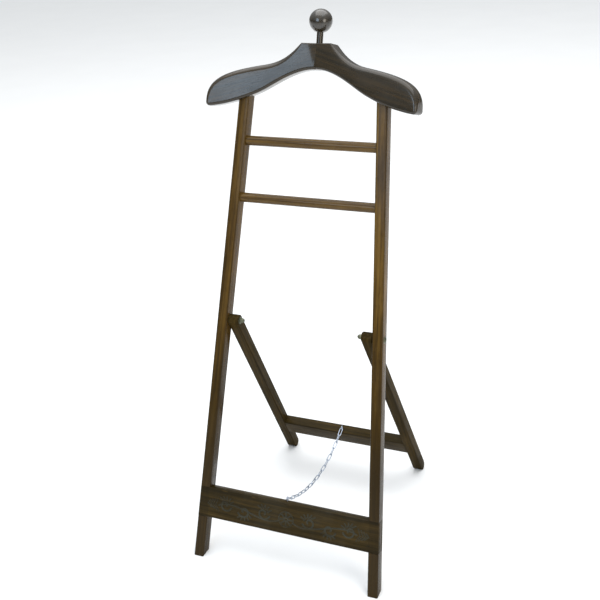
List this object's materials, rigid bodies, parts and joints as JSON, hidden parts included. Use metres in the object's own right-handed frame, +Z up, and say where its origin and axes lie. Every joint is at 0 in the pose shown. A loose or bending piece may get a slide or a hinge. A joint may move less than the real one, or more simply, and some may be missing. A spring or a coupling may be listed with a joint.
{
  "type": "folding valet stand",
  "caption": "Folding wooden valet stand: a coat hanger with a ball finial and two trouser rails on a leaning front frame, a hinged rear frame and a chain.",
  "frame": {"origin": "on the floor, at the middle of the footprint of the open stand", "axes": "+Z up; -Y is the front, where the hanger wings sweep towards; the fold turns about X"},
  "size_m": [0.4504, 0.4715, 1.109],
  "materials": {
    "upright_wood": "glossy lacquered hardwood, mid walnut stain",
    "hanger_wood": "glossy lacquered hardwood, dark walnut stain",
    "finial_wood": "turned, glossy lacquered hardwood, dark walnut stain",
    "rail_wood": "glossy lacquered round hardwood, walnut stain",
    "board_wood": "carved hardwood, dark walnut stain, satin lacquer",
    "rear_wood": "lacquered hardwood, dark walnut stain",
    "dowel_wood": "plain beech",
    "bolt_steel": "yellowed zinc plate",
    "chain_zinc": "bright zinc plate",
    "screw_brass": "dull brass"
  },
  "bodies": {
    "front_frame": {"upright_left": "upright_wood", "upright_right": "upright_wood", "hanger_left": "hanger_wood", "hanger_right": "hanger_wood", "seam_dowels": "dowel_wood", "upright_dowels": "dowel_wood", "finial_peg": "finial_wood", "finial_ball": "finial_wood", "upper_rail": "rail_wood", "lower_rail": "rail_wood", "front_board": "board_wood", "lap_screws": "screw_brass", "pivot_bolt_left": "bolt_steel", "pivot_bolt_right": "bolt_steel", "spacing_washers": "bolt_steel", "nut_washers": "bolt_steel", "cap_nut_left": "bolt_steel", "cap_nut_right": "bolt_steel", "board_eye": "chain_zinc", "chain_link_01": "chain_zinc", "chain_link_02": "chain_zinc", "chain_link_03": "chain_zinc", "chain_link_04": "chain_zinc", "chain_link_05": "chain_zinc", "chain_link_06": "chain_zinc", "chain_link_07": "chain_zinc", "chain_link_08": "chain_zinc", "chain_link_09": "chain_zinc", "chain_link_10": "chain_zinc", "chain_link_11": "chain_zinc", "chain_link_12": "chain_zinc", "chain_link_13": "chain_zinc", "chain_link_14": "chain_zinc", "chain_link_15": "chain_zinc", "chain_link_16": "chain_zinc", "chain_link_17": "chain_zinc"},
    "rear_frame": {"rear_leg_left": "rear_wood", "rear_leg_right": "rear_wood", "rear_stretcher": "rear_wood", "stretcher_dowels": "dowel_wood", "stretcher_eye": "chain_zinc"}
  },
  "joints": [
    {"name": "fold", "type": "hinge", "parent": "front_frame", "child": "rear_frame", "pos_m": [0, -0.05976, 0.50542], "axis": [1, 0, 0], "range_deg": [-44.5, 0], "deforming": ["chain_link_01", "chain_link_02", "chain_link_03", "chain_link_04", "chain_link_05", "chain_link_06", "chain_link_07", "chain_link_08", "chain_link_09", "chain_link_10", "chain_link_11", "chain_link_12", "chain_link_13", "chain_link_14", "chain_link_15", "chain_link_16", "chain_link_17"]}
  ]
}
